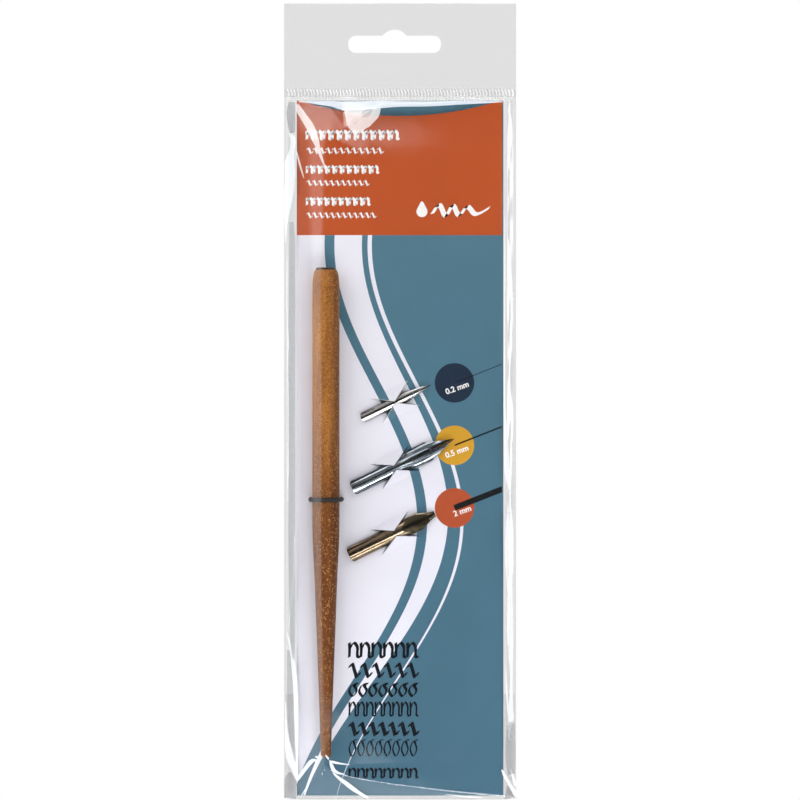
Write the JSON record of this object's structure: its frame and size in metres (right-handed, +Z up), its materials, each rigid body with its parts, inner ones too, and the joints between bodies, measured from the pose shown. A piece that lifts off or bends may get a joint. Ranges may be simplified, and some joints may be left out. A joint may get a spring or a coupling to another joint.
{
  "type": "calligraphy set",
  "caption": "Clear hanging bag with a folded display card that carries a wooden dip-pen holder under an elastic loop and steel nibs tucked in crossed slits.",
  "frame": {"origin": "middle of the hang slot's round arch centre line, halfway through the header", "axes": "+Z up the bag towards the header, -Y out of the printed front towards the viewer, +X to the viewer's right"},
  "size_m": [0.08, 0.0142, 0.2745],
  "materials": {
    "header_film": "clear polypropylene film, two plies",
    "bag_film": "clear polypropylene film",
    "tape": "clear pressure-sensitive adhesive",
    "card": "printed and varnished board",
    "lacquered_wood": "glossy clear lacquer",
    "clip_steel": "dark oiled steel",
    "elastic": "woven cover, matt black",
    "barb_metal": "crimped metal",
    "bright_steel": "polished",
    "blued_steel": "polished, blued",
    "bronzed_steel": "polished, bronzed",
    "dark_steel": "satin, dark bronze"
  },
  "bodies": {
    "pack": {"header_strip": "header_film", "bag_front_film": "bag_film", "bag_back_film": "bag_film", "display_card": "card", "elastic_cord": "elastic", "elastic_barbs": "barb_metal"},
    "flap": {"closure_flap": "bag_film", "flap_adhesive": "tape"},
    "holder": {"penholder": "lacquered_wood", "clip_sleeve": "clip_steel", "clip_prongs": "clip_steel"},
    "small_nib": {"small_nib": "bright_steel"},
    "pointed_nib": {"pointed_nib": "blued_steel"},
    "broad_nib": {"broad_nib": "bronzed_steel", "broad_nib_reservoir": "dark_steel"}
  },
  "joints": [
    {"name": "closure_flap_hinge", "type": "hinge", "parent": "pack", "child": "flap", "pos_m": [0.0019, -0.00305, -0.26], "axis": [-1, 0, 0], "range_deg": [0, 150]},
    {"name": "holder_slide", "type": "slide", "parent": "pack", "child": "holder", "axis": [0, 0, 1], "range_m": [0, 0.04]},
    {"name": "small_nib_slide", "type": "slide", "parent": "pack", "child": "small_nib", "axis": [0.8988, 0, 0.4384], "range_m": [0, 0.013]},
    {"name": "pointed_nib_slide", "type": "slide", "parent": "pack", "child": "pointed_nib", "axis": [0.8988, 0, 0.4384], "range_m": [0, 0.0165]},
    {"name": "broad_nib_slide", "type": "slide", "parent": "pack", "child": "broad_nib", "axis": [0.8988, 0, 0.4384], "range_m": [0, 0.0176]}
  ]
}
